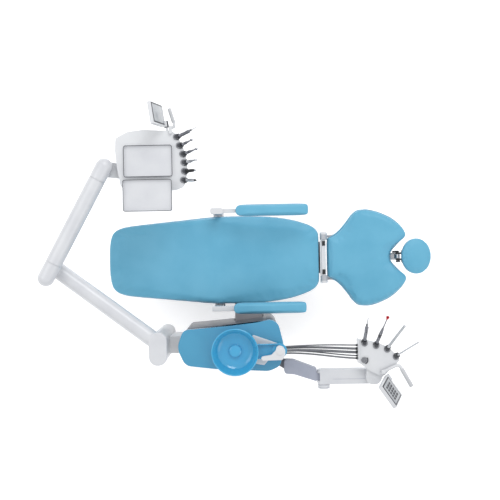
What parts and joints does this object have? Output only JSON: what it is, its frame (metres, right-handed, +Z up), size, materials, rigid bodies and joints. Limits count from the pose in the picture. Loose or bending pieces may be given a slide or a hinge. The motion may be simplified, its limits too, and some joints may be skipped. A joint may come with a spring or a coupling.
{
  "type": "dental chair",
  "caption": "Dental patient chair with a chair-mounted water unit, swinging delivery arm with instrument head, cuspidor bowl and assistant arm.",
  "frame": {"origin": "on the floor, centre of the four main anchor bolt holes of the base plate", "axes": "+X from the feet to the headrest, +Y to the patient's right, +Z up"},
  "size_m": [2.3162, 1.7484, 1.0592],
  "materials": {
    "steel_frame": "satin",
    "actuator": "satin",
    "frame_grey": "satin",
    "white_metal": "gloss",
    "white_plastic": "gloss",
    "arm_enamel": "satin",
    "blue_plastic": "gloss",
    "upholstery": "satin",
    "bowl_glass": "gloss",
    "grey_plastic": "satin",
    "light_grey": "satin",
    "dark_plastic": "satin",
    "display": "gloss",
    "bright_steel": "satin",
    "black_metal": "satin",
    "instrument": "polished",
    "hose_rubber": "matte"
  },
  "bodies": {
    "base": {"base_plate": "steel_frame", "base_bracket": "steel_frame", "base_cover": "white_plastic"},
    "lift": {"lift_arm": "steel_frame", "lift_actuator": "actuator"},
    "tie": {"tie_bar": "steel_frame"},
    "carriage": {"carriage_frame": "frame_grey", "seat_shell": "white_plastic", "seat_cushion": "upholstery", "unit_bridge": "grey_plastic", "unit_frame": "steel_frame", "unit_housing": "white_plastic", "unit_top": "blue_plastic", "arm_column": "white_plastic", "faucet": "white_plastic", "armrest_left_bracket": "white_metal", "armrest_left_pad": "upholstery", "armrest_right_post": "white_metal", "back_hinge": "white_metal", "hose_bundle": "hose_rubber"},
    "armrest": {"armrest_right_arm": "white_metal", "armrest_right_pad": "upholstery"},
    "backrest": {"back_frame": "steel_frame", "back_shell": "white_plastic", "back_cushion": "upholstery"},
    "neck_bar": {"headrest_bar": "bright_steel"},
    "headrest": {"headrest_bracket": "black_metal", "headrest_cushion": "upholstery"},
    "neck_lever": {"headrest_lever": "dark_plastic"},
    "bowl": {"cuspidor_bowl": "bowl_glass"},
    "lower_arm": {"delivery_arm": "arm_enamel"},
    "elbow": {"elbow_housing": "arm_enamel"},
    "upper_arm": {"spring_arm": "bright_steel", "spring_arm_cover": "arm_enamel"},
    "level_link": {"level_rod": "bright_steel"},
    "arm_end": {"arm_end_housing": "arm_enamel"},
    "head": {"delivery_head": "white_plastic", "delivery_handle": "light_grey", "delivery_holders": "dark_plastic"},
    "first_tray": {"tray_one": "bright_steel"},
    "second_tray": {"tray_holder": "bright_steel", "tray_two": "bright_steel"},
    "display": {"delivery_display": "display"},
    "assist_root": {"assist_link": "grey_plastic"},
    "assist_beam": {"assist_arm": "arm_enamel"},
    "knob": {"assist_knob": "arm_enamel"},
    "assist": {"assist_head": "white_plastic", "assist_handle": "light_grey", "assist_holders": "dark_plastic"},
    "assist_panel": {"assist_display": "display"},
    "delivery_syringe_unit": {"delivery_syringe": "bright_steel"},
    "turbine_one_unit": {"turbine_one": "instrument"},
    "turbine_two_unit": {"turbine_two": "instrument"},
    "micromotor_unit": {"micromotor": "instrument"},
    "scaler_unit": {"scaler": "dark_plastic"},
    "polisher_unit": {"polisher": "instrument"},
    "assist_syringe_unit": {"assist_syringe": "bright_steel"},
    "curing_light_unit": {"curing_light": "instrument"},
    "suction_large_unit": {"suction_large": "bright_steel"},
    "saliva_ejector_unit": {"saliva_ejector": "white_plastic"}
  },
  "joints": [
    {"name": "lift_raise", "type": "hinge", "parent": "base", "child": "lift", "pos_m": [-0.3, 0, 0.15], "axis": [0, -1, 0], "range_deg": [-11, 35]},
    {"name": "tie_follow", "type": "hinge", "parent": "base", "child": "tie", "pos_m": [-0.24, 0, 0.088], "axis": [0, -1, 0], "range_deg": [-11, 35]},
    {"name": "carriage_level", "type": "hinge", "parent": "lift", "child": "carriage", "pos_m": [0.15, 0, 0.32], "axis": [0, -1, 0], "range_deg": [-35, 11]},
    {"name": "backrest_recline", "type": "hinge", "parent": "carriage", "child": "backrest", "pos_m": [0.362, 0, 0.482], "axis": [0, -1, 0], "range_deg": [0, 65]},
    {"name": "headrest_extend", "type": "slide", "parent": "backrest", "child": "neck_bar", "axis": [0.9886, 0, 0.1504], "range_m": [0, 0.08]},
    {"name": "headrest_tilt", "type": "hinge", "parent": "neck_bar", "child": "headrest", "pos_m": [0.815, 0, 0.54], "axis": [0, -1, 0], "range_deg": [-20, 45]},
    {"name": "headrest_lever_turn", "type": "hinge", "parent": "headrest", "child": "neck_lever", "pos_m": [0.815, 0, 0.54], "axis": [0, -1, 0], "range_deg": [-30, 30]},
    {"name": "armrest_swing", "type": "hinge", "parent": "carriage", "child": "armrest", "pos_m": [-0.297, 0.293, 0.69], "axis": [0, 0, 1], "range_deg": [0, 100]},
    {"name": "bowl_swing", "type": "hinge", "parent": "carriage", "child": "bowl", "pos_m": [0.058, -0.521, 0.892], "axis": [0, 0, 1], "range_deg": [-35, 0]},
    {"name": "lower_arm_swing", "type": "hinge", "parent": "carriage", "child": "lower_arm", "pos_m": [-0.645, -0.509, 0.78], "axis": [0, 0, 1], "range_deg": [-10, 40]},
    {"name": "elbow_swing", "type": "hinge", "parent": "lower_arm", "child": "elbow", "pos_m": [-1.238, -0.034, 0.85], "axis": [0, 0, 1], "range_deg": [-45, 60]},
    {"name": "spring_arm_lower", "type": "hinge", "parent": "elbow", "child": "upper_arm", "pos_m": [-1.22608, -0.01202, 0.9], "axis": [-0.8791, 0.4766, 0], "range_deg": [-20, 15]},
    {"name": "level_rod_follow", "type": "hinge", "parent": "elbow", "child": "level_link", "pos_m": [-1.22608, -0.01202, 0.872], "axis": [-0.8791, 0.4766, 0], "range_deg": [-20, 15]},
    {"name": "head_level", "type": "hinge", "parent": "upper_arm", "child": "arm_end", "pos_m": [-0.95636, 0.48546, 0.9], "axis": [-0.8791, 0.4766, 0], "range_deg": [-15, 20]},
    {"name": "head_swing", "type": "hinge", "parent": "arm_end", "child": "head", "pos_m": [-0.923, 0.547, 0.83], "axis": [0, 0, 1], "range_deg": [-25, 60]},
    {"name": "tray_one_lift", "type": "slide", "parent": "head", "child": "first_tray", "axis": [0, 0, 1], "range_m": [0, 0.1]},
    {"name": "tray_two_swing", "type": "hinge", "parent": "head", "child": "second_tray", "pos_m": [-0.674, 0.445, 0.909], "axis": [0, 0, 1], "range_deg": [-25, 25]},
    {"name": "display_tilt", "type": "hinge", "parent": "head", "child": "display", "pos_m": [-0.566, 0.78, 0.877], "axis": [-0.1461, 0.9893, 0], "range_deg": [-15, 25]},
    {"name": "assist_arm_swing", "type": "hinge", "parent": "carriage", "child": "assist_root", "pos_m": [0.112, -0.648, 0.68], "axis": [0, 0, -1], "range_deg": [-35, 45], "deforming": ["hose_bundle"]},
    {"name": "assist_arm_lift", "type": "hinge", "parent": "assist_root", "child": "assist_beam", "pos_m": [0.326, -0.706, 0.7], "axis": [0, -1, 0], "range_deg": [-12, 20]},
    {"name": "assist_knob_turn", "type": "hinge", "parent": "assist_beam", "child": "knob", "pos_m": [0.326, -0.706, 0.7], "axis": [0, 1, 0], "range_deg": [-90, 90]},
    {"name": "assist_head_swing", "type": "hinge", "parent": "assist_beam", "child": "assist", "pos_m": [0.606, -0.706, 0.75], "axis": [0, 0, 1], "range_deg": [-45, 45]},
    {"name": "assist_panel_tilt", "type": "hinge", "parent": "assist", "child": "assist_panel", "pos_m": [0.687, -0.692, 0.798], "axis": [0.57, -0.8217, 0], "range_deg": [-25, 15]},
    {"name": "delivery_syringe_lift", "type": "slide", "parent": "head", "child": "delivery_syringe_unit", "axis": [0.7052, 0.1956, 0.6815], "range_m": [0, 0.12]},
    {"name": "turbine_one_lift", "type": "slide", "parent": "head", "child": "turbine_one_unit", "axis": [0.6614, 0.1718, 0.7301], "range_m": [0, 0.12]},
    {"name": "turbine_two_lift", "type": "slide", "parent": "head", "child": "turbine_two_unit", "axis": [0.6659, 0.1239, 0.7356], "range_m": [0, 0.12]},
    {"name": "micromotor_lift", "type": "slide", "parent": "head", "child": "micromotor_unit", "axis": [0.656, 0.0443, 0.7535], "range_m": [0, 0.12]},
    {"name": "scaler_lift", "type": "slide", "parent": "head", "child": "scaler_unit", "axis": [0.6614, -0.0265, 0.7496], "range_m": [0, 0.12]},
    {"name": "polisher_lift", "type": "slide", "parent": "head", "child": "polisher_unit", "axis": [0.6643, -0.086, 0.7425], "range_m": [0, 0.12]},
    {"name": "assist_syringe_lift", "type": "slide", "parent": "assist", "child": "assist_syringe_unit", "axis": [0, 0.7049, 0.7093], "range_m": [0, 0.12]},
    {"name": "curing_light_lift", "type": "slide", "parent": "assist", "child": "curing_light_unit", "axis": [0.1489, 0.6933, 0.7051], "range_m": [0, 0.12]},
    {"name": "suction_large_lift", "type": "slide", "parent": "assist", "child": "suction_large_unit", "axis": [0.3284, 0.6701, 0.6657], "range_m": [0, 0.12]},
    {"name": "saliva_ejector_lift", "type": "slide", "parent": "assist", "child": "saliva_ejector_unit", "axis": [0.6017, 0.5252, 0.6017], "range_m": [0, 0.12]}
  ],
  "couplings": [
    {"joint": "tie_follow", "follows": "lift_raise", "ratio": 1},
    {"joint": "carriage_level", "follows": "lift_raise", "ratio": -1},
    {"joint": "level_rod_follow", "follows": "spring_arm_lower", "ratio": 1},
    {"joint": "head_level", "follows": "spring_arm_lower", "ratio": -1}
  ]
}
